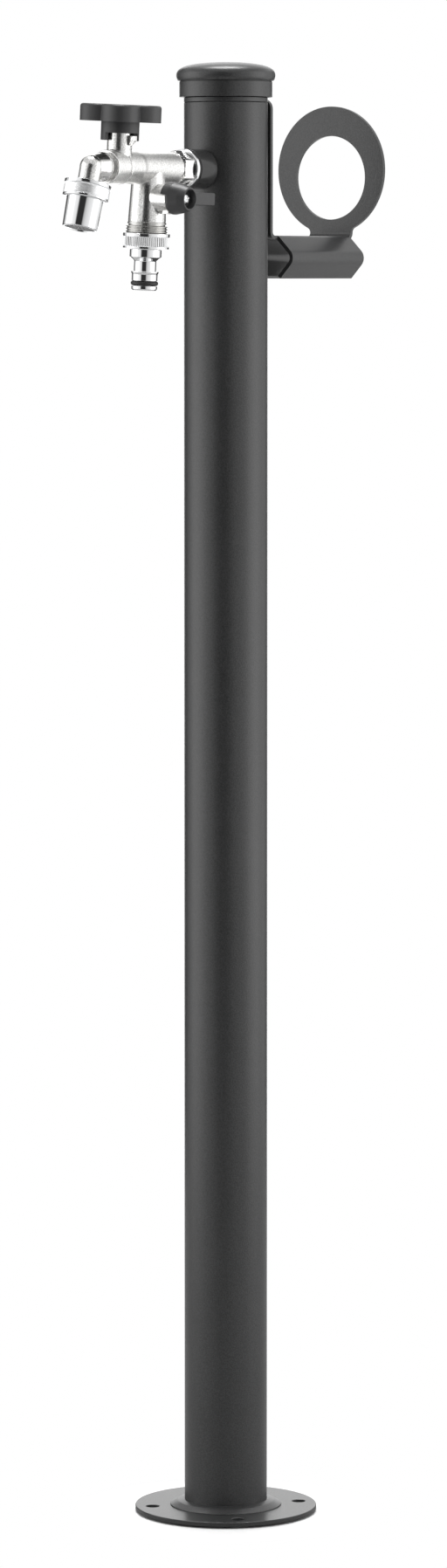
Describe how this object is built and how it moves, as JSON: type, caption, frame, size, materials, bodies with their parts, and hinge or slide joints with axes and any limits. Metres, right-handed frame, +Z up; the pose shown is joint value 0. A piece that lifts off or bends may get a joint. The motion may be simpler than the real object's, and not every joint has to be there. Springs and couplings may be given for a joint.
{
  "type": "garden water post with double tap and hose holder",
  "caption": "Free-standing powder coated garden water post with a branched cast ball tap, hose coupling outlet and a bent sheet hose holder.",
  "frame": {"origin": "centre of the foot plate's underside, on the post tube's axis", "axes": "+Z is up along the post tube, -Y is the side that the tap points to, +Y is the side of the hose holder, and +X is the side of the branch valve's handle"},
  "size_m": [0.119, 0.2876, 0.9454],
  "materials": {
    "coat": "fine grained matt anthracite powder coat",
    "plastic": "moulded black plastic",
    "nickel": "satin plated casting",
    "chrome": "bright plated",
    "brass": "machined",
    "rubber": "black sealing rubber",
    "white_plastic": "white pipe and seat plastic"
  },
  "bodies": {
    "post": {"base_plate": "coat", "base_cone": "coat", "post_tube": "coat", "cap_insert": "coat", "top_cap": "coat", "hose_holder": "coat", "holder_screws": "coat", "holder_rivet_nuts": "brass", "inlet_socket": "brass", "riser_pipe": "white_plastic", "riser_elbow": "brass", "wall_socket": "plastic", "lock_nut": "brass", "socket_gasket": "rubber", "rosette": "chrome", "tap_body": "nickel", "main_seats": "white_plastic", "spout_elbow": "nickel", "spout_ring": "rubber", "spout_gasket": "rubber", "spout_nut": "chrome", "spray_cup": "chrome", "cup_screen": "rubber", "branch_seats": "white_plastic", "branch_retainer": "brass", "plug_gasket": "rubber", "plug_nut": "chrome", "hose_plug": "chrome", "plug_ring": "rubber"},
    "main_valve": {"handwheel": "plastic", "main_stem": "brass", "main_ball": "chrome", "main_stem_ring": "rubber", "handwheel_screw": "chrome"},
    "branch_valve": {"branch_handle": "plastic", "branch_stem": "brass", "branch_ball": "chrome", "branch_stem_ring": "rubber", "branch_screw": "chrome"}
  },
  "joints": [
    {"name": "main_valve_turn", "type": "hinge", "parent": "post", "child": "main_valve", "pos_m": [0, -0.11645, 0.8764], "axis": [0.0523, 0, 0.9986], "range_deg": [0, 90]},
    {"name": "branch_valve_turn", "type": "hinge", "parent": "post", "child": "branch_valve", "pos_m": [-0.00095, -0.08395, 0.85823], "axis": [0.9986, 0, -0.0523], "range_deg": [0, 90]}
  ]
}
